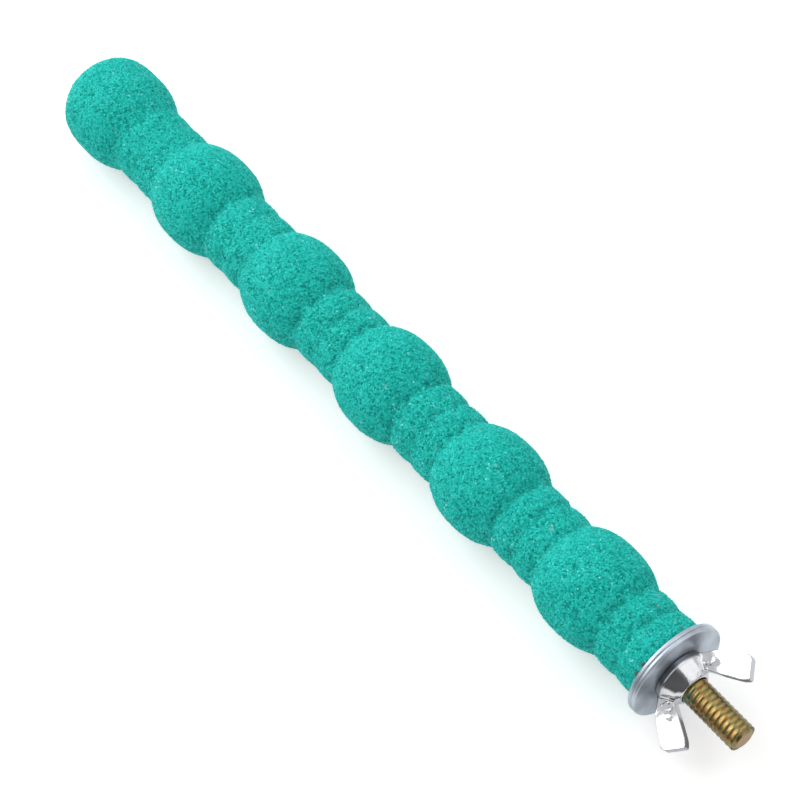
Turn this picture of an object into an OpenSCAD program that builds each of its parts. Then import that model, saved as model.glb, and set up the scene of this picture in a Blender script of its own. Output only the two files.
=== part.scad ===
// A bird perch: a turned wooden stick with beads and ribbed necks, coated with coloured quartz sand.
// A hanger bolt stands out of one end and carries two wide washers and a wing nut.
// The wall or wires of a cage are clamped between the two washers.
// Millimetres. The axis of the stick is X and the stud points to +X, with +Z up.
// The origin is on the axis, in the clamp plane: the face of the inner washer that the cage touches.

/* [Stick] */
// Number of beads, with the rounded one at the far end
bead_count = 6; // [3:1:9]
// Diameter over the sand at the middle of a bead
bead_d = 23.4; // [21:0.1:30]
// Length of a bead between two necks
bead_l = 19.6; // [14:0.1:28]
// Fullness of a bead: 2 is a plain arc, more is squarer
bead_fullness = 2.4; // [1.6:0.1:4]
// Number of ribs on a neck
rib_count = 2; // [1:1:4]
// Length of one rib
rib_l = 6.7; // [4:0.1:9]
// Fullness of a rib
rib_fullness = 2.2; // [1.6:0.1:4]
// Height of a rib above the grooves beside it
rib_h = 0.35; // [0.1:0.05:0.8]
// Diameter over the sand in the grooves of a neck
groove_d = 17.5; // [16:0.1:19]
// How much thicker the neck at the washers is, across
end_neck_extra = 0.9; // [0:0.1:1.5]
// Length of the far end, from the middle of its bead to the tip
tip_l = 11.8; // [8:0.1:16]
// Fullness of the far end: 2 is a plain ellipse
tip_fullness = 3; // [2:0.1:4]

/* [Sand coat] */
// Thickness of the sand and its glue
coat_t = 0.9; // [0.5:0.1:1.5]
// Length of bare wood left between the sand and the inner washer
bare_l = 0.6; // [0.2:0.1:2]

/* [Hanger bolt] */
// Diameter of the machine-thread end, over the crests
stud_d = 6.35; // [5:0.05:6.6]
// Length of the stud past the end of the stick
stud_l = 21.6; // [18:0.1:30]
// Chamfer on the tip of the stud
stud_chamfer = 0.5; // [0.2:0.1:1]
// Length of the plain shank that is sunk in the wood
shank_l = 4; // [2:0.5:10]
// Diameter of the wood-screw end
screw_d = 5.6; // [4:0.1:6.2]
// Length of the wood-screw end, with its point
screw_l = 21; // [12:0.5:40]
// Length of the point
point_l = 7; // [4:0.5:10]
// Diameter of the blunt end of the point
point_d = 0.8; // [0.4:0.1:2]

/* [Washers] */
// Diameter of a washer
washer_d = 23; // [18:0.5:30]
// Thickness of a washer
washer_t = 1; // [0.8:0.1:1.6]
// Diameter of the hole in a washer
washer_hole_d = 7.2; // [7:0.1:8]
// Rounding of the rim of a washer
washer_edge_r = 0.35; // [0.1:0.05:0.4]

/* [Wing nut] */
// Diameter of the foot of the hub
hub_foot_d = 12; // [10.5:0.1:14]
// Height of the straight foot of the hub
hub_foot_h = 1.3; // [0.5:0.1:1.5]
// Diameter of the hub at its top
hub_top_d = 8.6; // [8.4:0.1:10]
// Height of the hub
hub_h = 5.1; // [4.5:0.1:7]
// Chamfer on the edges of the hub
hub_chamfer = 0.4; // [0.1:0.1:0.5]
// Radial clearance of the hub on the stud
hub_clearance = 0.05; // [0.02:0.01:0.1]
// Lean of a wing away from the axis, in degrees
wing_lean = 31; // [15:1:40]
// Distance from the axis to the middle of the end of a wing
wing_end_r = 11.1; // [10:0.1:14]
// Height of the middle of the end of a wing above the foot
wing_end_h = 11.4; // [10:0.1:14]
// Length of the flat blade of a wing
wing_blade_l = 8.5; // [6:0.1:9]
// Width of the blade at its end
wing_end_w = 5.3; // [4:0.1:7]
// Width of the blade where it meets the hub
wing_root_w = 4.5; // [4:0.1:6]
// Thickness of a wing at its end
wing_end_t = 2.5; // [1.4:0.1:3]
// Thickness of a wing at the hub
wing_root_t = 3; // [1.6:0.1:4]
// Radius of the corners at the end of a wing
wing_corner_r = 1.1; // [0.4:0.1:1.8]
// Radius of the corners where a wing leaves the hub
wing_root_r = 0.8; // [0.4:0.1:1.2]
// Gap between the washer and the underside of a wing, at the hub
wing_lift = 0.5; // [0.2:0.1:1]
// Wall left between the bore and the root of a wing
wing_root_wall = 0.2; // [0.1:0.05:0.5]
// Turn of the wings about the axis, up from level, in degrees
wing_turn = 30; // [-90:1:90]

/* [Hidden] */

$fn = 96;
// Steps along the curve of a bead, a rib and the far end
bead_steps = 16;
rib_steps = 8;
tip_steps = 12;
// Sides of the round corners of a wing
wing_sides = 32;
// How far a cut runs past what it cuts
overrun = washer_t;

// The stick ends where the inner washer begins, and its beads follow one another towards -X
stick_end = -washer_t;
neck_l = rib_count * rib_l;
pitch = neck_l + bead_l;

// Radius of the grooves of neck k, counted from the washers
function groove_r(k) = (groove_d + (k == 0 ? end_neck_extra : 0)) / 2;

// Height of a turned swell along its length, from 0 at both ends to 1 in the middle
function swell(u, fullness) = 1 - pow(abs(2 * u - 1), fullness);

// Points of a swell that runs from one groove to the next, steps of them up to step last
function turned(start, length, from_r, to_r, crest_r, fullness, steps, last) =
    [for (i = [0 : last])
        let (u = i / steps, base_r = from_r + (to_r - from_r) * u)
        [base_r + (crest_r - base_r) * swell(u, fullness), start - length * u]];

function neck_points(k) =
    [for (j = [0 : rib_count - 1])
        each turned(stick_end - k * pitch - j * rib_l, rib_l, groove_r(k), groove_r(k),
            groove_r(k) + rib_h, rib_fullness, rib_steps, rib_steps - 1)];

function bead_points(k, last) =
    turned(stick_end - k * pitch - neck_l, bead_l, groove_r(k), groove_r(k + 1),
        bead_d / 2, bead_fullness, bead_steps, last);

// The rounded far end, from the middle of the last bead to the tip
tip_middle = stick_end - bead_count * pitch + bead_l / 2;
function tip_points(inset) =
    [for (i = [1 : tip_steps])
        let (a = 90 * i / tip_steps)
        [(bead_d / 2 - inset) * pow(cos(a), 2 / tip_fullness),
            tip_middle - (tip_l - inset) * pow(sin(a), 2 / tip_fullness)]];

// Points of the turned stick at a depth below the face of the sand, each [radius, place along X]
function turned_points(inset) =
    [for (k = [0 : bead_count - 1], p = concat(neck_points(k),
            bead_points(k, k < bead_count - 1 ? bead_steps - 1 : bead_steps / 2)))
        [p[0] - inset, p[1]]];

// Half section of the stick at a depth below the face of the sand, closed along the axis
module stick_section(inset) {
    polygon(concat([[0, stick_end]], turned_points(inset), tip_points(inset)));
}

// Half section of the hanger bolt, from its point in the wood to the tip of its stud
module bolt_section() {
    stud_tip = stick_end + stud_l;
    shank_end = stick_end - shank_l;
    screw_end = shank_end - screw_l;
    polygon([
        [0, screw_end],
        [point_d / 2, screw_end],
        [screw_d / 2, screw_end + point_l],
        [screw_d / 2, shank_end],
        [stud_d / 2, shank_end],
        [stud_d / 2, stud_tip - stud_chamfer],
        [stud_d / 2 - stud_chamfer, stud_tip],
        [0, stud_tip]
    ]);
}

// Turns a half section about X
module about_axis() {
    rotate([0, 90, 0])
        rotate_extrude()
            children();
}

module wood_core() {
    color("#b98d5a")
        about_axis()
            difference() {
                stick_section(coat_t);
                bolt_section();
            }
}

module sand_coat() {
    color("#26b4a0")
        about_axis()
            difference() {
                stick_section(0);
                stick_section(coat_t);
                translate([0, stick_end - bare_l])
                    square([bead_d, bare_l + overrun]);
            }
}

module hanger_bolt() {
    color("#b3924a")
        about_axis()
            bolt_section();
}

// A washer whose back face is at the given place along X
module washer(back) {
    about_axis()
        translate([washer_hole_d / 2, back]) {
            rim = (washer_d - washer_hole_d) / 2;
            square([rim - washer_edge_r, washer_t]);
            translate([0, washer_edge_r])
                square([rim, washer_t - 2 * washer_edge_r]);
            for (edge = [washer_edge_r, washer_t - washer_edge_r])
                translate([rim - washer_edge_r, edge])
                    circle(r = washer_edge_r);
        }
}

module inner_washer() {
    color("#b9bec6")
        washer(stick_end);
}

module outer_washer() {
    color("#b9bec6")
        washer(0);
}

// The hub of the wing nut, its foot at 0 and its axis along Z
module hub() {
    rotate_extrude()
        polygon([
            [0, 0],
            [hub_foot_d / 2 - hub_chamfer, 0],
            [hub_foot_d / 2, hub_chamfer],
            [hub_foot_d / 2, hub_foot_h],
            [hub_top_d / 2, hub_h - hub_chamfer],
            [hub_top_d / 2 - hub_chamfer, hub_h],
            [0, hub_h]
        ]);
}

// A round corner of a wing, at [distance from the axis, height above the foot]
module wing_corner(place, r, thickness) {
    translate([place[0], 0, place[1]])
        rotate([90, 0, 0])
            cylinder(r = r, h = thickness, center = true, $fn = wing_sides);
}

// One wing of the nut, leaning out over +X: a flat blade and the web that joins it to the hub
module wing() {
    along = [sin(wing_lean), cos(wing_lean)];
    across = [cos(wing_lean), -sin(wing_lean)];
    end_middle = [wing_end_r, wing_end_h] - wing_corner_r * along;
    root_middle = end_middle - wing_blade_l * along;
    end_side = wing_end_w / 2 - wing_corner_r;
    root_side = wing_root_w / 2 - wing_root_r;
    web_r = stud_d / 2 + hub_clearance + wing_root_wall + wing_root_r;
    hull() {
        wing_corner(end_middle + end_side * across, wing_corner_r, wing_end_t);
        wing_corner(end_middle - end_side * across, wing_corner_r, wing_end_t);
        wing_corner(root_middle + root_side * across, wing_root_r, wing_root_t);
        wing_corner(root_middle - root_side * across, wing_root_r, wing_root_t);
    }
    hull() {
        wing_corner(root_middle + root_side * across, wing_root_r, wing_root_t);
        wing_corner(root_middle - root_side * across, wing_root_r, wing_root_t);
        wing_corner([web_r, wing_lift + wing_root_r], wing_root_r, wing_root_t);
        wing_corner([web_r, hub_h - wing_root_r], wing_root_r, wing_root_t);
    }
}

module wing_nut() {
    color("#d5d8dc")
        translate([washer_t, 0, 0])
            rotate([90 + wing_turn, 0, 0])
                rotate([0, 90, 0])
                    difference() {
                        union() {
                            hub();
                            wing();
                            mirror([1, 0, 0])
                                wing();
                        }
                        translate([0, 0, -overrun])
                            cylinder(d = stud_d + 2 * hub_clearance, h = hub_h + 2 * overrun);
                    }
}

wood_core();
sand_coat();
hanger_bolt();
inner_washer();
outer_washer();
wing_nut();
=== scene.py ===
import math

import bmesh
import bpy
import numpy as np
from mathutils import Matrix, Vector, noise


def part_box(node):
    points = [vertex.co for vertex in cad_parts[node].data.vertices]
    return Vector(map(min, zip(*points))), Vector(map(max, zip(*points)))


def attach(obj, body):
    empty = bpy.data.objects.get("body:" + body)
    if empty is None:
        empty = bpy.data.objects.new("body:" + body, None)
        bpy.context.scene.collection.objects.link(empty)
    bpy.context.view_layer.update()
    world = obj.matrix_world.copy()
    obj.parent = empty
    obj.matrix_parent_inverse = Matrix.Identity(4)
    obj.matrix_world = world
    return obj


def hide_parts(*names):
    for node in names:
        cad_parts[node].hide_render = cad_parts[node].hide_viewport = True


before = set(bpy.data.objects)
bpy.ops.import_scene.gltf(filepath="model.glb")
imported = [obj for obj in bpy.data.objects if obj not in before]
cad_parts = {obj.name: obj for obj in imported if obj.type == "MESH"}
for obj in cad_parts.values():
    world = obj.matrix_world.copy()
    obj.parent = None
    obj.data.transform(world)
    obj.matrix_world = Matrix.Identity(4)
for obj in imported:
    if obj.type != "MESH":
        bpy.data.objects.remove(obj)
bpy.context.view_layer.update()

# Wooden stick
# A hardwood dowel turned on a lathe into six beads with ribbed necks between them, left raw.
# The sand hides it, but for a thin brown ring where the coat stops short of the inner washer.
wood_light = (0.46, 0.27, 0.13, 1)
wood_dark = (0.20, 0.10, 0.045, 1)
wood_grain_width = 0.0011
wood_grain_stretch = (0.07, 1, 1)
wood_grain_depth = 0.00005


def new_material(name, roughness=0.5, metallic=0.0):
    """A material, its node tree and its Principled shader"""
    material = bpy.data.materials.new(name)
    material.use_nodes = True
    tree = material.node_tree
    shader = tree.nodes["Principled BSDF"]
    shader.inputs["Roughness"].default_value = roughness
    shader.inputs["Metallic"].default_value = metallic
    return material, tree, shader


def add_node(tree, kind, inputs=(), **settings):
    """A node of a tree with its settings, and with values or links for its inputs"""
    node = tree.nodes.new(kind)
    for key, value in settings.items():
        setattr(node, key, value)
    for key, value in dict(inputs).items():
        if isinstance(value, bpy.types.NodeSocket):
            tree.links.new(value, node.inputs[key])
        else:
            node.inputs[key].default_value = value
    return node


def add_noise(tree, place, size, detail=2.0, **inputs):
    """Noise about 0.5 with spots of a size in metres"""
    values = {"Vector": place, "Scale": 1 / size, "Detail": detail, **inputs}
    return add_node(tree, "ShaderNodeTexNoise", values).outputs["Fac"]


def add_ramp(tree, factor, stops):
    """A colour ramp from (place, colour) stops"""
    ramp = add_node(tree, "ShaderNodeValToRGB", {"Fac": factor})
    elements = ramp.color_ramp.elements
    while len(elements) < len(stops):
        elements.new(0.5)
    for element, (place, colour) in zip(elements, stops):
        element.position = place
        element.color = colour
    return ramp.outputs["Color"]


def object_place(tree):
    """Where a point of the surface is on the piece"""
    return add_node(tree, "ShaderNodeTexCoord").outputs["Object"]


wood, tree, shader = new_material("turned_hardwood", roughness=0.7)
stretched = {"Vector": object_place(tree), "Scale": wood_grain_stretch}
along_grain = add_node(tree, "ShaderNodeMapping", stretched).outputs[0]
grain = add_noise(tree, along_grain, wood_grain_width, detail=5.0)
tree.links.new(add_ramp(tree, grain, [(0.3, wood_dark), (0.7, wood_light)]), shader.inputs["Base Color"])
bump = add_node(tree, "ShaderNodeBump", {"Strength": 0.4, "Distance": wood_grain_depth, "Height": grain})
tree.links.new(bump.outputs["Normal"], shader.inputs["Normal"])
core_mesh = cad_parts["wood_core"].data
core_mesh.materials.clear()
core_mesh.materials.append(wood)

# Sand coat
# Quartz sand dyed teal and glued on with white glue, in one layer of angular grains over the
# whole stick and its rounded end. In the grooves the glue left pits and ragged creases.
stick_end = -0.001
neck_pitch = 0.033
rib_length = 0.0067
last_groove = -0.186
coat_sunk = 0.00030
far_sunk = 0.00020
coat_row = 0.00036
coat_columns = 140
coat_soften = 0.00065
far_soften = 0.0013
far_soft_span = (-0.152, -0.168)
coat_turned_in = 0.0003
pole_gap = 0.0002
# How far from a groove's middle its creases, pits and painted-shade specks begin and are at their fullest
crease_span = (0.0016, 0.0002)
pit_span = (0.0030, 0.0008)
speck_span = (0.0055, 0.0015)
ragged_size = 0.0032
speck_size = 0.0009
speck_patch_size = 0.005
# By how much a noise is multiplied and raised before it is held between 0 and 1
ragged_levels = (2.2, 0.55)
pit_levels = (4.5, -0.9)
speck_levels = (3.0, -0.15)
speck_patch_levels = (3.0, 0.2)
# How much shallower the grooves are at the far end, and a crease's painted shade as a share of a pit's
far_shallower = 0.7
crease_shade_share = 0.6
grain_gap = 0.00033
grain_size = 0.00045
grain_sections = 6
grain_shapes = 5
most_grains_a_square_metre = 14000000.0
# The grains stop this far from the end of the coat, and are looked for this far past its tip
grain_end_gap = 0.0002
past_tip = 0.001
# A grain's least and most length, width and height, and the knock of its corners, as shares of its size
grain_least = (0.6, 0.55, 0.5)
grain_most = (1.05, 0.95, 0.9)
grain_knock = 0.27
full_turn = 6.283
# The colour of the painted shade in pits, creases and specks
sand_pit_shade = (0.001, 0.170, 0.140, 1)
sand_dark = (0.001, 0.340, 0.288, 1)
sand_mid = (0.004, 0.520, 0.450, 1)
sand_teal = (0.015, 0.635, 0.550, 1)
sand_light = (0.038, 0.765, 0.685, 1)
# The colour of a painted glint on the brightest grains
sand_glint = (0.260, 0.900, 0.870, 1)
# Grains that took no dye, left pale cyan so that they also serve as painted sparkles
sand_bare_and_sparkle = (0.24, 0.80, 0.77, 1)
sand_worn = (0.17, 0.085, 0.045, 1)
glue_white = (0.34, 0.72, 0.67, 1)
# The way that the side of the beads with painted shade faces
shaded_side_way = (0.87, -0.44, 0.22)
dye_patch_size = 0.0038
dye_patch_levels = (0.16, -0.08)
pale_patch_size = 0.005
pale_patch_span = (0.54, 0.66)
pale_patch_lift = 0.07
own_tone_share = 0.94
# How strongly the painted shade darkens the colour
pit_shade_strength = 0.5
glue_spot_size = 0.0021
glue_spot_span = (0.68, 0.76)
glue_spot_cover = 0.5
glue_speck_scale = 2600.0
glue_tone_levels = (-0.20, 0.70)
# Where along the stick the glue has more spots, and where the coat wears through
spotted_span = (-0.015, -0.009)
spotted_lift = 0.015
worn_span = (-0.0033, -0.0021)
worn_patch_size = 0.0018
worn_patch_span = (0.54, 0.64)
worn_cover = 0.8
# Of all grains, the share that took no dye and is pale as a painted sparkle, and where the painted glints
# begin
undyed_and_sparkle_share = 0.002
glint_from = 0.978
glint_lift = 0.15
palest_dull_tone = 0.86
# From the lit side of the beads to the side with painted shade: the spread of the tones, and their middle
shaded_side_span = (-0.35, 0.6)
shaded_side_spread = (0.35, 0.85)
shaded_side_middle = (-0.06, 0.54)
slant_power = 3.0
slant_cover = 0.5
coat_shading = 0.51


def cad_profile(node):
    """The outer profile of a turned CAD node, as sorted rows of [place along X, radius], without slivers"""
    sliver = 1e-10
    outwards = 0.02
    near_end = 0.99
    far_end = -0.9
    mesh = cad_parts[node].data
    rows = {}
    for polygon in mesh.polygons:
        middle = polygon.center
        out = Vector((0, middle.y, middle.z)).normalized()
        outside = polygon.normal.dot(out) > outwards and polygon.normal.x < near_end
        if polygon.area > sliver and (outside or polygon.normal.x < far_end):
            for index in polygon.vertices:
                v = mesh.vertices[index].co
                x = round(v.x, 6)
                rows[x] = max(rows.get(x, 0.0), math.hypot(v.y, v.z))
    return np.array(sorted(rows.items()))


def lathe(name, profile, columns, closed_ends=(False, False), loop=False):
    """A mesh turned about X from rows of [place, radius] that run towards -X"""
    rows = len(profile)
    turn = np.arange(columns) * 2 * math.pi / columns
    ring = np.stack([np.zeros(columns), np.cos(turn), np.sin(turn)], 1)
    points = profile[:, None, 1:] * ring[None] + profile[:, None, :1] * np.array([1.0, 0, 0])
    points = points.reshape(-1, 3).tolist()
    first = np.arange(rows if loop else rows - 1)[:, None]
    a = first * columns
    b = (first + 1) % rows * columns
    i = np.arange(columns)[None]
    j = (i + 1) % columns
    faces = np.stack([a + i, b + i, b + j, a + j], -1).reshape(-1, 4).tolist()
    for end, closed in zip((0, rows - 1), closed_ends):
        if closed:
            middle = len(points)
            points.append([float(profile[end, 0]), 0.0, 0.0])
            for k in range(columns):
                pair = (end * columns + k, end * columns + (k + 1) % columns)
                faces.append((middle, *pair) if end == 0 else (middle, *pair[::-1]))
    mesh = bpy.data.meshes.new(name)
    mesh.from_pydata(points, [], faces)
    mesh.update()
    piece = bpy.data.objects.new(name, mesh)
    bpy.context.collection.objects.link(piece)
    return piece


def even_rows(profile, step):
    """The profile again with rows at even steps along its length"""
    runs = np.concatenate([[0], np.cumsum(np.hypot(*np.diff(profile, axis=0).T))])
    at = np.linspace(0, runs[-1], int(round(runs[-1] / step)) + 1)
    return np.stack([np.interp(at, runs, profile[:, 0]), np.interp(at, runs, profile[:, 1])], 1)


def soften(profile, width, step):
    """The profile with its corners rounded over a width"""
    reach = int(3 * width / step)
    weights = np.exp(-0.5 * (np.arange(-reach, reach + 1) * step / width) ** 2)
    weights /= weights.sum()
    before = 2 * profile[:1] - profile[reach:0:-1]
    after = 2 * profile[-1:] - profile[-2:-reach - 2:-1]
    padded = np.concatenate([before, profile, after])
    return np.stack([np.convolve(padded[:, k], weights, mode="valid") for k in (0, 1)], 1)


def sunk(profile, depth):
    """The profile moved inwards, square to itself"""
    along = np.gradient(profile, axis=0)
    along /= np.linalg.norm(along, axis=1)[:, None]
    return profile + depth * np.stack([along[:, 1], -along[:, 0]], 1)


def way_along(values, zero_at, one_at):
    """0 to 1 as values go from one place to another, held at both ends"""
    return np.clip((values - zero_at) / (one_at - zero_at), 0, 1)


outer = cad_profile("sand_coat")
bead_reach = float(outer[:, 1].max())
far_tip = float(outer[0, 0])
outer = outer[outer[:, 1] > pole_gap]
fine_row = coat_row / 4
fine = even_rows(np.concatenate([[[outer[0, 0], 0.0]], outer]), fine_row)
# The sand lies thicker in the neck beside the far end, so its ribs show less there
far = way_along(fine[:, :1], *far_soft_span)
fine = soften(fine, coat_soften, fine_row) * (1 - far) + soften(fine, far_soften, fine_row) * far
fine = sunk(fine, coat_sunk + (far_sunk - coat_sunk) * far)
coat_rows = even_rows(fine[fine[:, 1] > pole_gap / 2], coat_row)
foot = coat_rows[-1]
turned_in = [[foot[0], foot[1] - coat_turned_in], [foot[0], foot[1] - 2 * coat_turned_in]]
coat_rows = np.concatenate([coat_rows, turned_in])


def new_tree(name, sizes, whole_numbers=()):
    """A Geometry Nodes tree with a Geometry input and output, named sizes, whole numbers and a material"""
    group = bpy.data.node_groups.new(name, "GeometryNodeTree")
    group.interface.new_socket("Geometry", in_out="INPUT", socket_type="NodeSocketGeometry")
    sockets = [(key, "NodeSocketFloat") for key in sizes] + [(key, "NodeSocketInt") for key in whole_numbers]
    for key, kind in sockets + [("Material", "NodeSocketMaterial")]:
        group.interface.new_socket(key, in_out="INPUT", socket_type=kind)
    group.interface.new_socket("Geometry", in_out="OUTPUT", socket_type="NodeSocketGeometry")
    return group, group.nodes.new("NodeGroupInput").outputs, group.nodes.new("NodeGroupOutput").inputs


def finish_tree(tree, geometry, given, done):
    """The end of a tree: real meshes in place of instances, in their material"""
    real = add_node(tree, "GeometryNodeRealizeInstances", {0: geometry}).outputs[0]
    dressed = add_node(tree, "GeometryNodeSetMaterial", {"Geometry": real, "Material": given["Material"]})
    tree.links.new(dressed.outputs[0], done["Geometry"])


def with_nodes(piece, group, values, name):
    """The piece's mesh once the tree has worked on it, as a plain object of its own"""
    modifier = piece.modifiers.new(group.name, "NODES")
    modifier.node_group = group
    for item in group.interface.items_tree:
        if item.in_out == "INPUT" and item.name in values:
            modifier[item.identifier] = values[item.name]
    bpy.context.view_layer.update()
    ready = piece.evaluated_get(bpy.context.evaluated_depsgraph_get())
    mesh = bpy.data.meshes.new_from_object(ready)
    mesh.name = name
    made = bpy.data.objects.new(name, mesh)
    bpy.context.collection.objects.link(made)
    piece.modifiers.remove(modifier)
    return made


def number(tree, operation, first, second=0.0, third=0.0, clamp=False):
    """The output of a maths node of any tree"""
    values = {0: first, 1: second, 2: third} if operation == "MULTIPLY_ADD" else {0: first, 1: second}
    return add_node(tree, "ShaderNodeMath", values, operation=operation, use_clamp=clamp).outputs[0]


def between(tree, value, zero_at, one_at):
    """0 to 1 as a value goes from one place to another, with soft ends"""
    inputs = {"Value": value, "From Min": zero_at, "From Max": one_at}
    return add_node(tree, "ShaderNodeMapRange", inputs, interpolation_type="SMOOTHSTEP").outputs[0]


def vector(tree, operation, first, second=(0.0, 0.0, 0.0)):
    """The output of a vector maths node of any tree"""
    output = "Value" if operation in ("DOT_PRODUCT", "LENGTH") else "Vector"
    return add_node(tree, "ShaderNodeVectorMath", {0: first, 1: second}, operation=operation).outputs[output]


def scaled(tree, first, scale):
    """A vector times a number"""
    inputs = {0: first, "Scale": scale}
    return add_node(tree, "ShaderNodeVectorMath", inputs, operation="SCALE").outputs["Vector"]


def parts(tree, place):
    """The outputs for the x, y and z of a place"""
    return add_node(tree, "ShaderNodeSeparateXYZ", {0: place}).outputs


def from_axis(tree, place):
    """The vector to a place from the nearest point of the stick's axis"""
    return vector(tree, "MULTIPLY", place, (0.0, 1.0, 1.0))


def shifted(tree, geometry, offset):
    """The geometry with each of its points moved by a vector"""
    return add_node(tree, "GeometryNodeSetPosition", {"Geometry": geometry, "Offset": offset}).outputs[0]


def stored(tree, geometry, name, value, data_type="FLOAT", domain="POINT"):
    """The geometry with a value kept on it under a name"""
    inputs = {"Geometry": geometry, "Name": name, "Value": value}
    store = add_node(tree, "GeometryNodeStoreNamedAttribute", inputs, data_type=data_type, domain=domain)
    return store.outputs[0]


# Relief of the coat: soft lumps all over, ragged creases along the grooves, and pits near them
relief, given, done = new_tree("sand_relief", [
    "Lump height", "Lump size", "Knob height", "Knob size", "Pit depth", "Pit size", "Crease depth", "Coat",
    "Least left", "Stick end", "Neck pitch", "Shallow from", "Shallow to", "Rib length", "Last groove"])
where = add_node(relief, "GeometryNodeInputPosition").outputs[0]


def relief_noise(size, detail, shift):
    """Noise between -1 and 1 with lumps of a size"""
    inputs = {"Vector": vector(relief, "ADD", where, (shift, shift, 0)),
              "Scale": number(relief, "DIVIDE", 1.0, size), "Detail": detail}
    spots = add_node(relief, "ShaderNodeTexNoise", inputs).outputs[0]
    return number(relief, "MULTIPLY_ADD", spots, 2.0, -1.0)


lumps = relief_noise(given["Lump size"], detail=1.0, shift=0.1)
lumps = number(relief, "MULTIPLY", lumps, given["Lump height"])
knobs = relief_noise(given["Knob size"], detail=2.0, shift=0.3)
knobs = number(relief, "MULTIPLY", knobs, given["Knob height"])
x = parts(relief, where)[0]
run = number(relief, "SUBTRACT", given["Stick end"], x)
phase = number(relief, "FLOORED_MODULO", run, given["Neck pitch"])
to_groove = number(relief, "PINGPONG", run, number(relief, "MULTIPLY", given["Neck pitch"], 0.5))
for ribs in (1.0, 2.0):
    past = number(relief, "SUBTRACT", phase, number(relief, "MULTIPLY", given["Rib length"], ribs))
    to_groove = number(relief, "MINIMUM", to_groove, number(relief, "ABSOLUTE", past))
has_groove = number(relief, "GREATER_THAN", x, given["Last groove"])
shallow = between(relief, x, given["Shallow from"], given["Shallow to"])
shallow = number(relief, "MULTIPLY_ADD", shallow, -far_shallower, 1.0)
has_groove = number(relief, "MULTIPLY", has_groove, shallow)
ragged = relief_noise(ragged_size, detail=2.0, shift=0.5)
ragged = number(relief, "MULTIPLY_ADD", ragged, *ragged_levels, clamp=True)
crease = number(relief, "MULTIPLY", between(relief, to_groove, *crease_span), has_groove)
crease = number(relief, "MULTIPLY", crease, ragged)
pits = relief_noise(given["Pit size"], detail=1.0, shift=0.7)
pits = number(relief, "MULTIPLY_ADD", pits, *pit_levels, clamp=True)
near_groove = number(relief, "MULTIPLY", between(relief, to_groove, *pit_span), has_groove)
pits = number(relief, "MULTIPLY", pits, near_groove)
cut = number(relief, "ADD", number(relief, "MULTIPLY", crease, given["Crease depth"]),
             number(relief, "MULTIPLY", pits, given["Pit depth"]))
# The coat is thinner, square to itself, where the stick is steep, so less is cut there
facing = add_node(relief, "GeometryNodeInputNormal").outputs[0]
steep = vector(relief, "DOT_PRODUCT", facing, vector(relief, "NORMALIZE", from_axis(relief, where)))
most = number(relief, "SUBTRACT", number(relief, "MULTIPLY", steep, given["Coat"]), given["Least left"])
cut = number(relief, "MINIMUM", cut, number(relief, "MAXIMUM", most, 0.0))
height = number(relief, "SUBTRACT", number(relief, "ADD", lumps, knobs), cut)
moved = shifted(relief, given["Geometry"], scaled(relief, facing, height))
# The share of painted shade: full in the pits, less in the creases
painted_shade_share = number(relief, "MAXIMUM", pits, number(relief, "MULTIPLY", crease, crease_shade_share))
# Specks of painted shade in patches on the shoulders beside the grooves
specks = relief_noise(speck_size, detail=2.0, shift=0.9)
specks = number(relief, "MULTIPLY_ADD", specks, *speck_levels, clamp=True)
patches = relief_noise(speck_patch_size, detail=1.0, shift=1.3)
patches = number(relief, "MULTIPLY_ADD", patches, *speck_patch_levels, clamp=True)
shoulder = number(relief, "MULTIPLY", between(relief, to_groove, *speck_span), has_groove)
specks = number(relief, "MULTIPLY", specks, number(relief, "MULTIPLY", patches, shoulder))
painted_shade_share = number(relief, "MAXIMUM", painted_shade_share, specks)
finish_tree(relief, stored(relief, moved, "pit", painted_shade_share), given, done)


def mix(tree, factor, first, second):
    """One colour that turns to another"""
    inputs = {"Factor": factor, 6: first, 7: second}
    return add_node(tree, "ShaderNodeMix", inputs, data_type="RGBA").outputs[2]


# Dye and painted shade: the teal of a grain or of the glue from a tone between 0 and 1, with painted
# shade in the pits, creases and specks, with whitish spots of glue, and brown where the coat wears
# thin beside the washers
dye_and_shade = bpy.data.node_groups.new("dyed_and_shaded_sand", "ShaderNodeTree")
for key in ("Tone", "Pit"):
    dye_and_shade.interface.new_socket(key, in_out="INPUT", socket_type="NodeSocketFloat")
dye_and_shade.interface.new_socket("Color", in_out="OUTPUT", socket_type="NodeSocketColor")
dye_and_shade_in = dye_and_shade.nodes.new("NodeGroupInput").outputs
dye_and_shade_out = dye_and_shade.nodes.new("NodeGroupOutput").inputs
place = object_place(dye_and_shade)
tone = number(dye_and_shade, "MULTIPLY_ADD", add_noise(dye_and_shade, place, dye_patch_size, detail=3.0), *dye_patch_levels)
pale = between(dye_and_shade, add_noise(dye_and_shade, place, pale_patch_size, detail=1.0), *pale_patch_span)
tone = number(dye_and_shade, "ADD", tone, number(dye_and_shade, "MULTIPLY", pale, pale_patch_lift))
tone = number(dye_and_shade, "MULTIPLY_ADD", dye_and_shade_in["Tone"], own_tone_share, tone, clamp=True)
colour = add_ramp(dye_and_shade, tone, [(0.0, sand_dark), (0.2, sand_mid), (0.5, sand_teal),
                              (0.9, sand_light), (0.98, sand_light), (1.0, sand_glint)])
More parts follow.
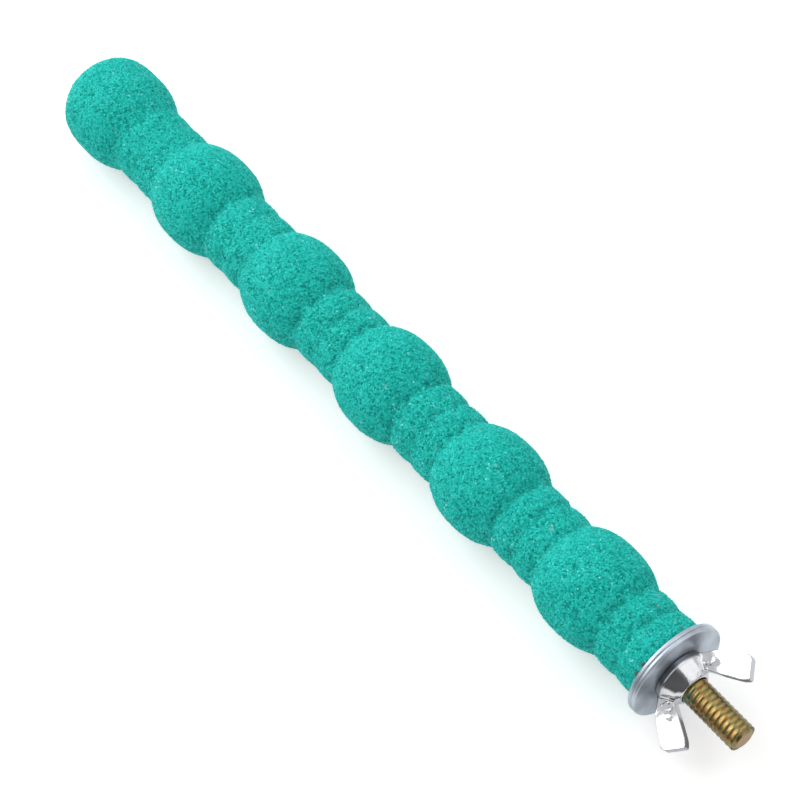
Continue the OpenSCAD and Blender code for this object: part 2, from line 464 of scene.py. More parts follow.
# Painted shade in the pits, creases and specks
colour = mix(dye_and_shade, number(dye_and_shade, "MULTIPLY", dye_and_shade_in["Pit"], pit_shade_strength), colour, sand_pit_shade)
x = parts(dye_and_shade, place)[0]
spots = add_noise(dye_and_shade, place, glue_spot_size, detail=2.0, Distortion=0.4)
spots = number(dye_and_shade, "MULTIPLY_ADD", between(dye_and_shade, x, *spotted_span), spotted_lift, spots)
spotted = number(dye_and_shade, "MULTIPLY", between(dye_and_shade, spots, *glue_spot_span), glue_spot_cover)
colour = mix(dye_and_shade, spotted, colour, glue_white)
worn = between(dye_and_shade, add_noise(dye_and_shade, place, worn_patch_size), *worn_patch_span)
worn = number(dye_and_shade, "MULTIPLY", between(dye_and_shade, x, *worn_span), worn)
colour = mix(dye_and_shade, number(dye_and_shade, "MULTIPLY", worn, worn_cover), colour, sand_worn)
dye_and_shade.links.new(colour, dye_and_shade_out["Color"])


def attribute(tree, name, output="Fac"):
    """What is kept on the surface under a name"""
    return add_node(tree, "ShaderNodeAttribute", attribute_name=name).outputs[output]


def dyed_and_shaded(tree, tone):
    """The dyed colour of a tone, with painted shade where the surface has a pit, crease or dark speck"""
    inputs = {"Tone": tone, "Pit": attribute(tree, "pit")}
    return add_node(tree, "ShaderNodeGroup", inputs, node_tree=dye_and_shade).outputs["Color"]


glue_sand, tree, shader = new_material("sand_in_glue", roughness=0.75)
shader.inputs["Specular IOR Level"].default_value = 0.14
speckled = {"Vector": object_place(tree), "Scale": glue_speck_scale}
speck = add_node(tree, "ShaderNodeTexVoronoi", speckled).outputs["Distance"]
tone = number(tree, "MULTIPLY_ADD", speck, *glue_tone_levels)
tree.links.new(dyed_and_shaded(tree, tone), shader.inputs["Base Color"])
bump = add_node(tree, "ShaderNodeBump", {"Strength": 0.8, "Distance": 0.0002, "Height": speck}, invert=True)
tree.links.new(bump.outputs["Normal"], shader.inputs["Normal"])

grain_sand, tree, shader = new_material("sand_grains", roughness=0.45)
shader.inputs["Specular IOR Level"].default_value = 0.16
tone = attribute(tree, "grain_tone")
undyed_and_sparkle = number(tree, "LESS_THAN", tone, undyed_and_sparkle_share)
# Painted shade: on the sides that face the washers the grains are darker, and their tones spread wider
level_with = attribute(tree, "coat_facing", "Vector")
shaded_side = between(tree, vector(tree, "DOT_PRODUCT", level_with, shaded_side_way), *shaded_side_span)
spread = number(tree, "MULTIPLY_ADD", shaded_side, *shaded_side_spread)
spread = number(tree, "MULTIPLY", number(tree, "SUBTRACT", tone, 0.5), spread)
dye_and_shade_tone = number(tree, "ADD", number(tree, "MULTIPLY_ADD", shaded_side, *shaded_side_middle), spread)
# Grains past glint_from get a painted glint
glints = number(tree, "MULTIPLY", number(tree, "GREATER_THAN", tone, glint_from), glint_lift)
dye_and_shade_tone = number(tree, "MINIMUM", dye_and_shade_tone, number(tree, "ADD", glints, palest_dull_tone))
# Grains that took no dye, painted pale as sparkles too
colour = mix(tree, undyed_and_sparkle, dyed_and_shaded(tree, dye_and_shade_tone), sand_bare_and_sparkle)
# Painted sheen: the rim of a bead is painted paler, as grains seen at a slant hide one another's shaded sides
slanted = add_node(tree, "ShaderNodeLayerWeight", {"Blend": 0.5, "Normal": level_with}).outputs["Facing"]
slanted = number(tree, "MULTIPLY", number(tree, "POWER", slanted, slant_power), slant_cover)
tree.links.new(mix(tree, slanted, colour, sand_light), shader.inputs["Base Color"])
rough = add_node(tree, "ShaderNodeMapRange", {"Value": tone, "To Min": 0.65, "To Max": 0.32}).outputs[0]
tree.links.new(rough, shader.inputs["Roughness"])
# The grains are clear enough to take light from round about, so each is shaded half as the coat under it
facet = add_node(tree, "ShaderNodeNewGeometry").outputs["Normal"]
halfway = {"Factor": coat_shading, 4: facet, 5: level_with}
soft = add_node(tree, "ShaderNodeMix", halfway, data_type="VECTOR").outputs[1]
tree.links.new(vector(tree, "NORMALIZE", soft), shader.inputs["Normal"])

coat_form = lathe("coat_form", coat_rows[::-1], coat_columns, (False, True))
coat = with_nodes(coat_form, relief, {
    "Lump height": 0.00012, "Lump size": 0.0075, "Knob height": 0.000062, "Knob size": 0.0019,
    "Pit depth": 0.00065, "Pit size": 0.0015, "Crease depth": 0.00030, "Coat": 0.0009, "Least left": 0.00047,
    "Stick end": stick_end, "Neck pitch": neck_pitch, "Rib length": rib_length,
    "Last groove": last_groove, "Shallow from": -0.10, "Shallow to": -0.17,
    "Material": glue_sand}, "sand_coat_glue")
bpy.data.objects.remove(coat_form)
coat.data.shade_smooth()

# Grains: one layer of angular grains over the coat, each turned its own way and sunk in the glue
scatter, given, done = new_tree(
    "sand_grain_scatter", ["Grain size", "Grain gap", "From", "To", "Reach", "Far tip"], ["Seed"])
where = add_node(scatter, "GeometryNodeInputPosition").outputs[0]
x = parts(scatter, where)[0]
chosen = number(scatter, "MULTIPLY", number(scatter, "GREATER_THAN", x, given["From"]),
                number(scatter, "LESS_THAN", x, given["To"]))
spread = add_node(scatter, "GeometryNodeDistributePointsOnFaces", {
    "Mesh": given["Geometry"], "Selection": chosen, "Distance Min": given["Grain gap"],
    "Density Max": most_grains_a_square_metre, "Density Factor": 1.0,
    "Seed": given["Seed"]}, distribute_method="POISSON")


def random_value(low, high, seed, data_type="FLOAT_VECTOR"):
    """A random value between two limits, for each corner or grain"""
    inputs = {"Min": low, "Max": high, "Seed": seed}
    return add_node(scatter, "FunctionNodeRandomValue", inputs, data_type=data_type).outputs["Value"]


shapes = add_node(scatter, "GeometryNodeJoinGeometry")
for shape in range(grain_shapes):
    block = add_node(scatter, "GeometryNodeMeshCube", {"Size": (1.0, 1.0, 1.0)}).outputs["Mesh"]
    knock = random_value((-grain_knock,) * 3, (grain_knock,) * 3, seed=11 + shape)
    one = add_node(scatter, "GeometryNodeGeometryToInstance", {0: shifted(scatter, block, knock)}).outputs[0]
    scatter.links.new(one, shapes.inputs[0])
turned_by = random_value((0.0, 0.0, 0.0), (full_turn,) * 3, seed=3)
sized = scaled(scatter, random_value(grain_least, grain_most, seed=5), given["Grain size"])
grains = add_node(scatter, "GeometryNodeInstanceOnPoints", {
    "Points": spread.outputs["Points"], "Instance": shapes.outputs[0], "Pick Instance": True,
    "Rotation": turned_by, "Scale": sized}).outputs[0]
tone = random_value(0.0, 1.0, seed=9, data_type="FLOAT")
grains = stored(scatter, grains, "grain_tone", tone, domain="INSTANCE")
grains = stored(scatter, grains, "coat_facing", spread.outputs["Normal"], "FLOAT_VECTOR", "INSTANCE")
grains = add_node(scatter, "GeometryNodeRealizeInstances", {0: grains}).outputs[0]
# A corner that sticks out past the beads or the far tip is knocked flat
sides = parts(scatter, where)
squares = [number(scatter, "MULTIPLY", side, side) for side in sides[1:]]
reach = number(scatter, "SQRT", number(scatter, "ADD", *squares))
shrink = number(scatter, "MINIMUM", number(scatter, "DIVIDE", given["Reach"], reach), 1.0)
flattened = add_node(scatter, "ShaderNodeCombineXYZ", {
    0: number(scatter, "MAXIMUM", sides[0], given["Far tip"]),
    1: number(scatter, "MULTIPLY", sides[1], shrink),
    2: number(scatter, "MULTIPLY", sides[2], shrink)}).outputs[0]
grains = add_node(scatter, "GeometryNodeSetPosition", {"Geometry": grains, "Position": flattened}).outputs[0]
faceted = {"Geometry": grains, "Shade Smooth": False}
grains = add_node(scatter, "GeometryNodeSetShadeSmooth", faceted).outputs[0]
finish_tree(scatter, grains, given, done)

coat_low = far_tip - past_tip
coat_high = float(coat_rows[:, 0].max()) - grain_end_gap
section_ends = np.linspace(coat_low, coat_high, grain_sections + 1)
for section in range(grain_sections):
    grains = with_nodes(coat, scatter, {
        "Grain size": grain_size, "Grain gap": grain_gap, "From": float(section_ends[section]),
        "To": float(section_ends[section + 1]), "Reach": bead_reach, "Far tip": far_tip,
        "Seed": 21 + section, "Material": grain_sand}, f"sand_grains_{section + 1}")
    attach(grains, "perch")
    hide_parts("sand_coat")
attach(coat, "perch")
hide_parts("sand_coat")

# Hanger bolt
# A steel stud with a rolled machine thread outside and a wood-screw thread in the stick, plated
# with yellow zinc that shimmers gold, green and red. Its cut tip is chamfered and duller.
thread_pitch = 0.00127
thread_depth = 0.00011
thread_crest = 0.16
thread_run_out = 0.0003
tip_chamfer = 0.0008
tip_face_depth = 0.00003
wood_thread_pitch = 0.0024
wood_thread_depth = 0.00085
wood_thread_crest = 0.1
wood_thread_run_out = 0.003
wood_thread_to = -0.0055
# How far down the flank of a thread its root begins
thread_root = 0.9
bolt_row = 0.00008
bolt_columns = 96
least_sharp_corner = math.radians(50)
# Where the plate was hung, as a direction square to the axis; its film grows thinner all the way round
film_from = (0.0, -0.906, -0.423)
film_side_levels = (0.27, 0.45)
film_streak_size = 0.0010
film_streak_stretch = (1.9, 0.7, 0.7)
film_streak_levels = (1.4, -0.7)
film_crest_levels = (0.36, -0.18)
beside_nut_span = (0.0098, 0.0070)
beside_nut_film = 0.28
# Where the painted shade in the thread's grooves begins and is fullest, and how strong it is
groove_span = (0.1, 0.7)
groove_shade_cover = 0.5
# How the painted sheen at a slant grows, and how strong it is
slant_shine_power = 2.0
slant_shine_cover = 0.6
# Roughness of the film, and how much rougher the cut face of the tip is
film_rough = 0.33
tip_rougher = 0.23
zinc_gold = (0.47, 0.40, 0.15, 1)
zinc_brown = (0.25, 0.22, 0.16, 1)
zinc_olive = (0.25, 0.27, 0.11, 1)
zinc_amber = (0.33, 0.27, 0.09, 1)
zinc_orange = (0.52, 0.24, 0.05, 1)
zinc_red = (0.36, 0.13, 0.05, 1)
zinc_green = (0.20, 0.29, 0.09, 1)
zinc_teal = (0.15, 0.29, 0.25, 1)
# The colour of the painted shade in the grooves
zinc_groove_shade = (0.25, 0.15, 0.06, 1)
zinc_edge_sheen = (0.40, 0.38, 0.32, 1)
zinc_tip = (0.52, 0.39, 0.24, 1)

bolt_outline = cad_profile("hanger_bolt")
# The cut end is rounded off a little further than the chamfer of the plain stud
bolt_outline[-2] = (bolt_outline[-1, 0] - tip_chamfer, bolt_outline[-2, 1])
bolt_outline[-1, 1] = bolt_outline[-2, 1] - tip_chamfer
bolt_tip = float(bolt_outline[-1, 0])
bolt_steps = [bolt_outline[0]]
for row in bolt_outline[1:]:
    last = bolt_steps[-1]
    count = max(1, int(round((row[0] - last[0]) / bolt_row)))
    for k in range(1, count + 1):
        bolt_steps.append(last + (row - last) * k / count)
bolt_rows = np.array(bolt_steps)

# Thread: ridges that wind along X on a turned mesh, fading out where the thread ends
threads, given, done = new_tree("wound_thread", ["Pitch", "Depth", "Flat crest", "From", "To", "Run out"])
where = add_node(threads, "GeometryNodeInputPosition").outputs[0]


def wound_turns(tree, place, pitch):
    """How many turns of a thread lie before a place, counted along X"""
    x, y, z = parts(tree, place)
    angle = number(tree, "DIVIDE", number(tree, "ARCTAN2", z, y), 2 * math.pi)
    return number(tree, "SUBTRACT", number(tree, "DIVIDE", x, pitch), angle)


wave = number(threads, "PINGPONG", wound_turns(threads, where, given["Pitch"]), 0.5)
wave = number(threads, "SUBTRACT", number(threads, "MULTIPLY", wave, 2.0), given["Flat crest"])
flank = number(threads, "SUBTRACT", thread_root, given["Flat crest"])
groove = between(threads, number(threads, "DIVIDE", wave, flank, clamp=True), 0.0, 1.0)
x = parts(threads, where)[0]
for first, second in ((x, given["From"]), (given["To"], x)):
    edge = number(threads, "SUBTRACT", first, second)
    faded = number(threads, "DIVIDE", edge, given["Run out"], clamp=True)
    groove = number(threads, "MULTIPLY", groove, faded)
cut = number(threads, "MULTIPLY", groove, number(threads, "MULTIPLY", given["Depth"], -1.0))
offset = scaled(threads, vector(threads, "NORMALIZE", from_axis(threads, where)), cut)
moved = shifted(threads, given["Geometry"], offset)
before = add_node(threads, "GeometryNodeInputNamedAttribute", {"Name": "groove"}, data_type="FLOAT")
deepest = number(threads, "MAXIMUM", before.outputs["Attribute"], groove)
finish_tree(threads, stored(threads, moved, "groove", deepest), given, done)

yellow_zinc, tree, shader = new_material("yellow_zinc", metallic=1.0)
place = object_place(tree)
side = vector(tree, "DOT_PRODUCT", vector(tree, "NORMALIZE", from_axis(tree, place)), film_from)
film = number(tree, "MULTIPLY_ADD", side, *film_side_levels)
streaks = add_node(tree, "ShaderNodeMapping", {"Vector": place, "Scale": film_streak_stretch}).outputs[0]
streaks = add_noise(tree, streaks, film_streak_size, detail=3.0, Distortion=0.4)
film = number(tree, "ADD", film, number(tree, "MULTIPLY_ADD", streaks, *film_streak_levels))
along_crest = number(tree, "FRACT", number(tree, "ADD", wound_turns(tree, place, thread_pitch), 0.5))
film = number(tree, "ADD", film, number(tree, "MULTIPLY_ADD", along_crest, *film_crest_levels))
# The film is greenest beside the hub of the nut
x = parts(tree, place)[0]
beside_nut = number(tree, "MULTIPLY", between(tree, x, *beside_nut_span), beside_nut_film)
film = number(tree, "ADD", film, beside_nut)
shimmer = add_ramp(tree, film, [
    (0.0, zinc_brown), (0.15, zinc_olive), (0.30, zinc_amber), (0.42, zinc_gold), (0.52, zinc_orange),
    (0.60, zinc_red), (0.68, zinc_gold), (0.78, zinc_olive), (0.88, zinc_green), (1.0, zinc_teal)])
# Painted shade in the grooves of the thread
groove_shade = between(tree, attribute(tree, "groove"), *groove_span)
groove_shade = number(tree, "MULTIPLY", groove_shade, groove_shade_cover)
shimmer = mix(tree, groove_shade, shimmer, zinc_groove_shade)
# Painted sheen: the stud is painted paler grey where it is seen at a slant
slanted = add_node(tree, "ShaderNodeLayerWeight", {"Blend": 0.5}).outputs["Facing"]
slanted = number(tree, "POWER", slanted, slant_shine_power)
slanted = number(tree, "MULTIPLY", slanted, slant_shine_cover)
shimmer = mix(tree, slanted, shimmer, zinc_edge_sheen)
tip_face = number(tree, "GREATER_THAN", x, bolt_tip - tip_face_depth)
tree.links.new(mix(tree, tip_face, shimmer, zinc_tip), shader.inputs["Base Color"])
tree.links.new(number(tree, "MULTIPLY_ADD", tip_face, tip_rougher, film_rough), shader.inputs["Roughness"])

bolt_form = lathe("bolt_form", bolt_rows[::-1], bolt_columns, (True, True))
stud_cut = with_nodes(bolt_form, threads, {
    "Pitch": thread_pitch, "Depth": thread_depth, "Flat crest": thread_crest, "From": stick_end,
    "To": bolt_tip + thread_run_out, "Run out": thread_run_out, "Material": yellow_zinc}, "stud_thread")
bolt = with_nodes(stud_cut, threads, {
    "Pitch": wood_thread_pitch, "Depth": wood_thread_depth, "Flat crest": wood_thread_crest,
    "From": float(bolt_outline[0, 0]), "To": wood_thread_to, "Run out": wood_thread_run_out,
    "Material": yellow_zinc}, "hanger_bolt_threaded")
bpy.data.objects.remove(bolt_form)
bpy.data.objects.remove(stud_cut)
bolt.data.shade_smooth()
bolt.data.set_sharp_from_angle(angle=least_sharp_corner)
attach(bolt, "perch")
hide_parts("hanger_bolt")

# Washers
# Two wide steel washers, stamped and zinc plated to a satin blue-grey. The inner one sits against
# the stick and the outer one under the nut, so the cage wall is gripped between them.
washer_hole_r = 0.0036
washer_rolled_edge = 0.0004
washer_sharp_edge = 0.00026
washer_columns = 160
# A hair off each face, so that the two washers pass each other when one of them turns
washer_hair = 0.000008
zinc_cloud_size = 0.0055
zinc_dent_size = 0.009
zinc_dent_depth = 0.0004
zinc_scratch_size = 0.0006
zinc_scratch_depth = 0.00003
# Where the painted shade round the nut's foot begins and is fullest, and how strong it is
contact_shade_span = (0.0077, 0.0063)
contact_shade_strength = 0.15
zinc_pale = (0.71, 0.79, 0.88, 1)
zinc_grey = (0.49, 0.55, 0.62, 1)
zinc_shaded = (0.13, 0.14, 0.16, 1)

plate, tree, shader = new_material("zinc_plate", roughness=0.36, metallic=0.8)
place = object_place(tree)
cloud = add_noise(tree, place, zinc_cloud_size, detail=4.0)
colour = add_ramp(tree, cloud, [(0.35, zinc_grey), (0.65, zinc_pale)])
# Painted shade: the plate is painted dark in a ring round the nut's foot, as the shadow of the nut
off_axis = vector(tree, "LENGTH", from_axis(tree, place))
contact_shade = number(tree, "MULTIPLY", between(tree, off_axis, *contact_shade_span), contact_shade_strength)
tree.links.new(mix(tree, contact_shade, colour, zinc_shaded), shader.inputs["Base Color"])
dents = add_noise(tree, place, zinc_dent_size, detail=1.0)
bump = add_node(tree, "ShaderNodeBump", {"Strength": 0.5, "Distance": zinc_dent_depth, "Height": dents})
scratches = {"Strength": 0.25, "Distance": zinc_scratch_depth, "Normal": bump.outputs["Normal"],
             "Height": add_noise(tree, place, zinc_scratch_size, detail=4.0)}
bump = add_node(tree, "ShaderNodeBump", scratches)
tree.links.new(bump.outputs["Normal"], shader.inputs["Normal"])


def rounded_section(corners, steps=6):
    """A closed section from corners of [place, radius, rounding]"""
    places = [Vector(corner[:2]) for corner in corners]
    points = []
    for k, place in enumerate(places):
        before = (places[k - 1] - place).normalized()
        after = (places[(k + 1) % len(places)] - place).normalized()
        rounding = corners[k][2]
        centre = place + (before + after) * rounding
        for step in range(steps + 1):
            turn = 0.5 * math.pi * step / steps
            points.append(centre - after * rounding * math.cos(turn) - before * rounding * math.sin(turn))
    return np.array([list(point) for point in points])


for name, rolled_front in (("inner_washer", False), ("outer_washer", True)):
    low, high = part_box(name)
    front, back = washer_sharp_edge, washer_rolled_edge
    if rolled_front:
        front, back = back, front
    front_x = high.x - washer_hair
    back_x = low.x + washer_hair
    section = rounded_section([
        (front_x, washer_hole_r, washer_sharp_edge), (front_x, high.y, front),
        (back_x, high.y, back), (back_x, washer_hole_r, washer_sharp_edge)])
    washer = lathe(f"{name}_stamped", section, washer_columns, loop=True)
    washer.data.materials.append(plate)
    washer.data.shade_smooth()
    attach(washer, name)
    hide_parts(name)

# Wing nut
# Die-cast zinc with a bright plate: a hub with a straight foot and a cone above it, and two flat
# wings with rounded ends. The casting left small lumps where the wings meet the hub.
mm = 0.001
wing_turn = math.radians(30)
wing_lean = math.radians(31)
wing_half_angle = 17.5
wing_columns = 4
hub_columns = 32
# Rings round the hub's section, each [height above the foot, radius] in millimetres
hub_rings = [(0, 5.6), (0.12, 5.94), (0.4, 6.0), (1.42, 6.0), (1.54, 5.93), (1.68, 5.83), (2.9, 5.18),
             (3.9, 4.65), (4.1, 4.54), (4.5, 4.2), (5.05, 3.7), (5.1, 3.5), (5.0, 3.3), (4.7, 3.225),
             (0.4, 3.225), (0.08, 3.35), (0, 3.7), (0, 5.0)]
wing_first_ring = 2
wing_last_ring = 8
# Steps out along a wing, each [lower edge, upper edge, thickness]; an edge is [distance out, height]
wing_steps = [((6.4, 1.4), (4.72, 4.75), 3.3), ((7.6, 2.1), (5.1, 5.5), 2.8),
              ((8.9, 3.0), (5.7, 6.7), 2.6), ((9.9, 4.4), (6.45, 8.2), 2.5),
              ((11.0, 6.0), (7.3, 9.8), 2.5), ((12.1, 7.6), (8.05, 11.2), 2.5),
              ((12.59, 8.34), (8.49, 11.64), 2.5), ((12.75, 9.04), (8.91, 12.13), 2.5),
              ((12.52, 9.59), (9.27, 12.21), 2.5), ((12.48, 9.7), (9.35, 12.22), 2.42)]
wing_across_steps = (-1, -0.82, 0, 0.82, 1)
wing_up_steps = (0, 0.1, 0.3, 0.5, 0.7, 0.9, 1)
# Lumps of the casting, each [out, across, up, radius, height] in millimetres
cast_lumps = [(5.2, 1.5, 3.2, 1.2, 0.10), (6.0, 1.4, 3.9, 1.1, 0.09), (6.9, 1.3, 4.7, 1.1, 0.10),
              (3.9, 2.6, 3.3, 1.3, 0.10), (-5.4, 1.4, 3.6, 1.3, 0.13), (-6.3, 1.3, 4.7, 1.1, 0.11),
              (-6.5, 1.3, 3.1, 0.9, 0.08), (-7.2, 1.3, 5.6, 0.9, 0.08)]
# The whole casting is wavy, and the lumps are ragged in outline and crumpled on top, all in millimetres
cast_wave_height = 0.02
cast_wave_size = 1.7
lump_ragged_size = 1.1
lump_ragged = 0.25
lump_crumple_size = 0.5
lump_crumple = 0.55
# Where the painted dark reflection on the trimmed edges of the wings begins, how flat the edges may be,
# and how square to the wings their ends are
trimmed_out_span = (5.6, 6.2)
trimmed_flat_span = (0.93, 0.73)
end_square_span = (0.5, 0.75)
# Where the painted dark reflection on the hub's foot ends, up and out, and the way its paler side faces
foot_up_span = (1.18, 1.06)
foot_out_span = (6.12, 6.02)
pale_foot_way = (-0.94, -0.34)
pale_foot_span = (0.96, 0.71)
# Roughness of the plate, and how much rougher the trimmed edges are
plated_rough = 0.13
trimmed_rougher = 0.22
plated_patch_size = 0.0033
cast_skin_size = 0.0018
cast_skin_depth = 0.00008
zinc_bright = (0.86, 0.87, 0.89, 1)
zinc_dull = (0.72, 0.73, 0.76, 1)
# The ends and edges of the wings are painted darker, as a painted dark reflection
zinc_end_reflection = (0.64, 0.67, 0.72, 1)
zinc_edge_reflection = (0.16, 0.148, 0.135, 1)
zinc_foot_shade = (0.30, 0.31, 0.35, 1)
nut_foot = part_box("wing_nut")[0].x


def nut_point(out, across, up):
    """A place on the nut from millimetres out along its wings, across them and up from its foot"""
    turn_y = math.cos(wing_turn)
    turn_z = math.sin(wing_turn)
    y = (out * turn_y - across * turn_z) * mm
    z = (out * turn_z + across * turn_y) * mm
    return Vector((nut_foot + up * mm, y, z))


span = [wing_half_angle * (2 * k / wing_columns - 1) for k in range(wing_columns + 1)]
rest_count = hub_columns // 2 - wing_columns
rest_step = (180 - 2 * wing_half_angle) / rest_count
half_turn = span + [wing_half_angle + rest_step * k for k in range(1, rest_count)]
angles = [math.radians(side + angle) for side in (0, 180) for angle in half_turn]
cage = bmesh.new()
hub = [[cage.verts.new(nut_point(radius * math.cos(angle), radius * math.sin(angle), up)) for angle in angles]
       for up, radius in hub_rings]
for r in range(len(hub_rings)):
    for c in range(hub_columns):
        on_wing = wing_first_ring <= r < wing_last_ring and c % (hub_columns // 2) < wing_columns
        if not on_wing:
            above = (r + 1) % len(hub_rings)
            beside = (c + 1) % hub_columns
            cage.faces.new((hub[r][c], hub[above][c], hub[above][beside], hub[r][beside]))
tall = len(wing_up_steps) - 1
wide = len(wing_across_steps) - 1
rim = [(0, i) for i in range(wide + 1)] + [(j, wide) for j in range(1, tall + 1)]
rim += [(tall, i) for i in range(wide - 1, -1, -1)] + [(j, 0) for j in range(tall - 1, 0, -1)]
for first_column, way in ((0, 1), (hub_columns // 2, -1)):
    loop = {(j, i): hub[wing_first_ring + j][first_column + i] for j, i in rim}
    for low, high, thick in wing_steps:
        ends = low == wing_steps[-1][0]
        places = [(j, i) for j in range(tall + 1) for i in range(wide + 1)] if ends else rim
        following = {}
        for j, i in places:
            out = low[0] + (high[0] - low[0]) * wing_up_steps[j]
            up = low[1] + (high[1] - low[1]) * wing_up_steps[j]
            following[j, i] = cage.verts.new(nut_point(way * out, way * wing_across_steps[i] * thick / 2, up))
        for a, b in zip(rim, rim[1:] + rim[:1]):
            cage.faces.new((loop[a], loop[b], following[b], following[a]))
        loop = following
    for j in range(tall):
        for i in range(wide):
            cage.faces.new((loop[j, i], loop[j, i + 1], loop[j + 1, i + 1], loop[j + 1, i]))
bmesh.ops.recalc_face_normals(cage, faces=cage.faces)
cage_mesh = bpy.data.meshes.new("wing_nut_cage")
cage.to_mesh(cage_mesh)
cage.free()
cage_form = bpy.data.objects.new("wing_nut_cage", cage_mesh)
bpy.context.collection.objects.link(cage_form)
smoothing = cage_form.modifiers.new("smoothing", "SUBSURF")
smoothing.levels = 3
smoothing.render_levels = 3
bpy.context.view_layer.update()
smoothed = cage_form.evaluated_get(bpy.context.evaluated_depsgraph_get())
nut_mesh = bpy.data.meshes.new_from_object(smoothed)
bpy.data.objects.remove(cage_form)
nut_mesh.name = "wing_nut_cast"
nut = bpy.data.objects.new("wing_nut_cast", nut_mesh)
bpy.context.collection.objects.link(nut)
out_way = np.array((nut_point(1, 0, 0) - nut_point(0, 0, 0)).normalized())
across_way = np.array((nut_point(0, 1, 0) - nut_point(0, 0, 0)).normalized())
count = len(nut_mesh.vertices)
spots = np.empty(count * 3)
normals = np.empty(count * 3)
nut_mesh.vertices.foreach_get("co", spots)
nut_mesh.vertex_normals.foreach_get("vector", normals)
spots = spots.reshape(-1, 3)
normals = normals.reshape(-1, 3)


def cast_noise(spot, size):
    """Noise at a spot of the casting, with waves of a size in millimetres"""
    return noise.noise(Vector(spot) / (size * mm))


heights = np.array([cast_wave_height * mm * cast_noise(spot, cast_wave_size) for spot in spots])
for lump in cast_lumps:
    radius = lump[3] * mm
    rise = lump[4] * mm
    away = np.linalg.norm(spots - np.array(nut_point(*lump[:3])), axis=1)
    for k in np.flatnonzero(away < 1.4 * radius):
        near = away[k] / (radius * (1 + lump_ragged * cast_noise(spots[k], lump_ragged_size)))
        if near < 1:
            crumpled = 1 + lump_crumple * cast_noise(spots[k], lump_crumple_size)
            heights[k] += rise * crumpled * (1 - near * near) ** 2
# How far a point is on the trimmed edge of a wing or on its end, where a dark reflection is painted
out = np.hypot(spots[:, 1], spots[:, 2]) / mm
flat = np.abs(normals @ across_way)
on_painted_edge = way_along(out, *trimmed_out_span) * way_along(flat, *trimmed_flat_span)
which_wing = np.sign(spots @ out_way)
end_way = math.cos(wing_lean) * normals[:, 0] + math.sin(wing_lean) * (normals @ out_way) * which_wing
on_painted_end = way_along(end_way, *end_square_span)
# How far it is on the foot, with a painted dark reflection that is paler on the side above the lower wing
up = (spots[:, 0] - nut_foot) / mm
pale_side = spots[:, 1:] @ np.array(pale_foot_way) / (out * mm)
foot_shade_share = way_along(up, *foot_up_span) * way_along(out, *foot_out_span)
foot_shade_share *= way_along(pale_side, *pale_foot_span)
for name, share in (("painted_edge_reflection", on_painted_edge), ("wing_end", on_painted_end), ("foot", foot_shade_share)):
    nut_mesh.attributes.new(name, "FLOAT", "POINT").data.foreach_set("value", share)
nut_mesh.vertices.foreach_set("co", (spots + normals * heights[:, None]).ravel())
nut_mesh.update()

bright, tree, shader = new_material("bright_zinc", metallic=1.0)
place = object_place(tree)
patches = add_noise(tree, place, plated_patch_size, detail=3.0)
plated = add_ramp(tree, patches, [(0.3, zinc_dull), (0.6, zinc_bright)])
# Painted dark reflection on the foot of the hub
plated = mix(tree, attribute(tree, "foot"), plated, zinc_foot_shade)
# Painted dark reflection on the edges of the wings, paler on their ends
edge = attribute(tree, "painted_edge_reflection")
painted_edge_reflection = mix(tree, attribute(tree, "wing_end"), zinc_edge_reflection, zinc_end_reflection)
tree.links.new(mix(tree, edge, plated, painted_edge_reflection), shader.inputs["Base Color"])
rough = number(tree, "MULTIPLY_ADD", edge, trimmed_rougher, plated_rough)
tree.links.new(rough, shader.inputs["Roughness"])
skin = add_noise(tree, place, cast_skin_size, detail=2.0)
bump = add_node(tree, "ShaderNodeBump", {"Strength": 0.4, "Distance": cast_skin_depth, "Height": skin})
tree.links.new(bump.outputs["Normal"], shader.inputs["Normal"])
nut_mesh.materials.append(bright)
nut_mesh.shade_smooth()
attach(nut, "wing_nut")
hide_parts("wing_nut")

# Floor, light and camera
# A plain white floor that the beads rest on, two soft boxes and an even sky. The metal sees a dark
# camera side and a dark line along the horizon, as in a studio with black cards.
floor_z = -0.01172
floor_level = 0.45
floor_mirrored_level = 0.15
sky_level = 0.6
bright_level = 1.15
bright_card = (0.360, 0.350, 0.864)
bright_card_span = (0.70, 0.82)
dark_card_x_span = (0.04, 0.14)
dark_card_y_span = (-0.07, -0.15)
horizon_span = (0.14, 0.04)
horizon_share = 0.8
card_darkening = 0.84
floor_colour = (0.8, 0.8, 0.8, 1)
floor_far_colour = (0.09, 0.09, 0.09, 1)
floor_far_span = (-0.025, -0.05)
camera_place = (0.21294, -0.23821, 0.50696)
camera_way = (-0.4713, 0.37379, -0.79885)
lit_middle = (-0.09, 0, 0)
bpy.ops.mesh.primitive_plane_add(size=8, location=(0, 0, floor_z))
floor = bpy.context.object
floor.name = "floor"
white, tree, shader = new_material("white_floor", roughness=0.9)
shader.inputs["Specular IOR Level"].default_value = 0.0
rays = add_node(tree, "ShaderNodeLightPath").outputs
mirrored = number(tree, "MAXIMUM", rays["Is Glossy Ray"], rays["Is Transmission Ray"])
# Seen only in the metal, the floor past the object on the -Y side is painted dark, as a painted dark
# reflection
beside = parts(tree, object_place(tree))[1]
far_off = number(tree, "MULTIPLY", between(tree, beside, *floor_far_span), mirrored)
tree.links.new(mix(tree, far_off, floor_colour, floor_far_colour), shader.inputs["Base Color"])
mirrored = number(tree, "MULTIPLY", number(tree, "SUBTRACT", mirrored, far_off), floor_mirrored_level)
level = number(tree, "MULTIPLY_ADD", rays["Is Camera Ray"], floor_level, mirrored)
shader.inputs["Emission Color"].default_value = (1, 1, 1, 1)
tree.links.new(level, shader.inputs["Emission Strength"])
floor.data.materials.append(white)

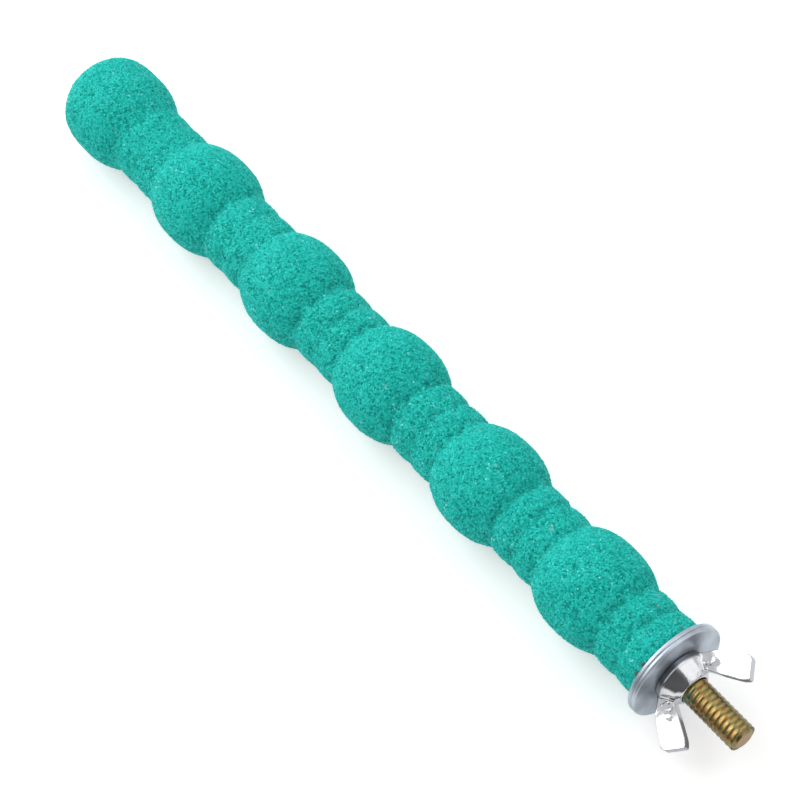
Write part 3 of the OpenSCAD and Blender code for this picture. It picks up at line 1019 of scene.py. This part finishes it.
world = bpy.data.worlds.new("even_sky")
bpy.context.scene.world = world
world.use_nodes = True
tree = world.node_tree
sky = tree.nodes["Background"]
sky.inputs["Color"].default_value = (1, 1, 1, 1)
toward = add_node(tree, "ShaderNodeTexCoord").outputs["Generated"]
way = parts(tree, toward)
dark_card = number(tree, "MULTIPLY", between(tree, way[0], *dark_card_x_span),
                   between(tree, way[1], *dark_card_y_span))
horizon = number(tree, "MULTIPLY", between(tree, way[2], *horizon_span), horizon_share)
dark = number(tree, "MULTIPLY", number(tree, "MAXIMUM", dark_card, horizon), card_darkening)
on_card = between(tree, vector(tree, "DOT_PRODUCT", toward, bright_card), *bright_card_span)
level = number(tree, "MULTIPLY_ADD", on_card, bright_level - sky_level, sky_level)
level = number(tree, "MULTIPLY", level, number(tree, "SUBTRACT", 1.0, dark))
rays = add_node(tree, "ShaderNodeLightPath").outputs
mirrored = number(tree, "MULTIPLY", rays["Is Glossy Ray"], number(tree, "SUBTRACT", level, sky_level))
tree.links.new(number(tree, "ADD", mirrored, sky_level), sky.inputs["Strength"])


def soft_box(name, direction, distance, size, level, mirrored=True):
    """A square soft box that looks at the object, as bright as a card lit to a level"""
    lamp = bpy.data.lights.new(name, "AREA")
    lamp.shape = "SQUARE"
    lamp.size = size
    lamp.energy = level * math.pi * size * size
    box = bpy.data.objects.new(name, lamp)
    bpy.context.collection.objects.link(box)
    direction = Vector(direction).normalized()
    box.location = direction * distance + Vector(lit_middle)
    box.rotation_euler = direction.to_track_quat("Z", "Y").to_euler()
    box.visible_glossy = mirrored


soft_box("soft_box_left", (-0.68, -0.42, 0.63), distance=1.2, size=1.1, level=2.25)
soft_box("soft_box_back", (-0.35, 0.55, 0.76), distance=1.2, size=0.95, level=1.0, mirrored=False)

lens = bpy.data.cameras.new("photo_camera")
lens.lens = 135
lens.sensor_width = 36
lens.clip_start = 0.01
camera = bpy.data.objects.new("photo_camera", lens)
bpy.context.collection.objects.link(camera)
camera.location = camera_place
camera.rotation_euler = Vector(camera_way).to_track_quat("-Z", "Y").to_euler()
bpy.context.scene.camera = camera
bpy.context.scene.view_settings.view_transform = "Standard"
